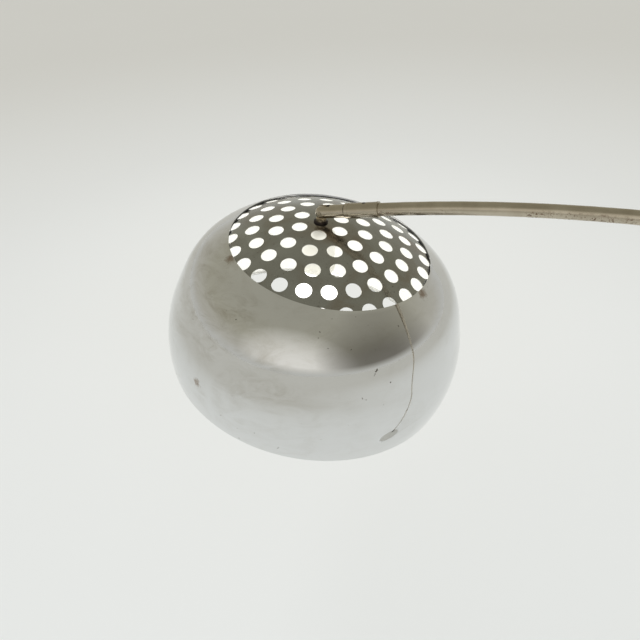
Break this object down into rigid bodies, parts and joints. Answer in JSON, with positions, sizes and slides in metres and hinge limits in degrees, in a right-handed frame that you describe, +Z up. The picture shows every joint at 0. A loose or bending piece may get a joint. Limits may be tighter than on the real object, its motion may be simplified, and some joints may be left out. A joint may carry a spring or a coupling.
{
  "type": "arc floor lamp",
  "caption": "Floor lamp with a disc base, a telescoping tubular arc and a tilting chrome ball shade under a perforated dome.",
  "frame": {"origin": "centre of the base disc's underside, on the floor", "axes": "+Z up, -X from the base toward the lamp head, Y across the arc's plane"},
  "size_m": [1.5203, 0.3609, 2.024],
  "materials": {
    "felt": "dense felt",
    "cast_iron": "rough cast",
    "satin_nickel": "satin nickel with rust pits",
    "white_lacquer": "pale stove lacquer",
    "dark_metal": "black oxide",
    "black_plastic": "moulded",
    "steel": "zinc plated",
    "nylon": "nylon",
    "flex": "round flex",
    "white_ceramic": "glazed",
    "brass": "plain",
    "bulb_metal": "rolled thread",
    "bulb_glass": "opal",
    "grey_dome": "polished grey metal, perforated",
    "chrome_shade": "mirror chrome outside, white enamel inside"
  },
  "bodies": {
    "stand": {"felt_pad": "felt", "base_weight": "cast_iron", "base_cover": "white_lacquer", "cable_gland": "black_plastic", "pole_socket": "dark_metal", "socket_screws": "steel", "pole_tube": "satin_nickel", "clamp_collar": "satin_nickel", "flex_lower": "flex"},
    "bush": {"clamp_bush": "nylon"},
    "knob": {"clamp_knob": "dark_metal"},
    "arc": {"lower_arc": "satin_nickel", "guide_bush": "nylon", "joint_reducer": "satin_nickel", "joint_screw": "steel", "upper_arc": "satin_nickel", "end_ferrule": "satin_nickel", "ferrule_screw": "dark_metal", "swivel_spigot": "steel", "flex_arc": "flex"},
    "knuckle": {"knuckle": "satin_nickel", "retaining_screw": "steel", "pivot_screw": "satin_nickel", "pivot_nut": "steel"},
    "hanger": {"hanger": "satin_nickel", "top_washer": "dark_metal", "threaded_nipple": "steel", "lock_nut": "steel", "holder_cap": "white_ceramic", "holder_skirt": "white_ceramic", "holder_insert": "white_ceramic", "screw_shell": "brass", "centre_contact": "brass", "bulb_cap": "bulb_metal", "bulb_glass": "bulb_glass", "flex_head": "flex"},
    "dome": {"perforated_dome": "grey_dome", "inner_washer": "steel"},
    "ring": {"glide_ring": "nylon"},
    "bowl": {"shade_bowl": "chrome_shade"}
  },
  "joints": [
    {"name": "arc_swivel", "type": "hinge", "parent": "stand", "child": "bush", "pos_m": [0.14, 0, 0.809], "axis": [0, 0, 1], "range_deg": [-90, 90]},
    {"name": "arc_height", "type": "slide", "parent": "bush", "child": "arc", "axis": [0, 0, 1], "range_m": [-0.12, 0.1]},
    {"name": "knob_turn", "type": "hinge", "parent": "stand", "child": "knob", "pos_m": [0.14, 0, 0.809], "axis": [1, 0, 0], "range_deg": [-180, 180]},
    {"name": "knuckle_swivel", "type": "hinge", "parent": "arc", "child": "knuckle", "pos_m": [-1.14205, 0, 1.973], "axis": [0.9816, 0, 0.1908], "range_deg": [-90, 90]},
    {"name": "head_tilt", "type": "hinge", "parent": "knuckle", "child": "hanger", "pos_m": [-1.14205, 0, 1.973], "axis": [0, 1, 0], "range_deg": [-16, 60]},
    {"name": "dome_turn", "type": "hinge", "parent": "hanger", "child": "dome", "pos_m": [-1.14205, 0, 1.973], "axis": [0.1219, 0, 0.9925], "range_deg": [-170, 170]},
    {"name": "bowl_tilt", "type": "hinge", "parent": "dome", "child": "ring", "pos_m": [-1.17087, 0, 1.73826], "axis": [-0.1894, 0.9816, 0.0233], "range_deg": [-8.2, 0]},
    {"name": "bowl_spin", "type": "hinge", "parent": "ring", "child": "bowl", "pos_m": [-1.17087, 0, 1.73826], "axis": [0.1912, 0.0136, 0.9815], "continuous": true}
  ]
}
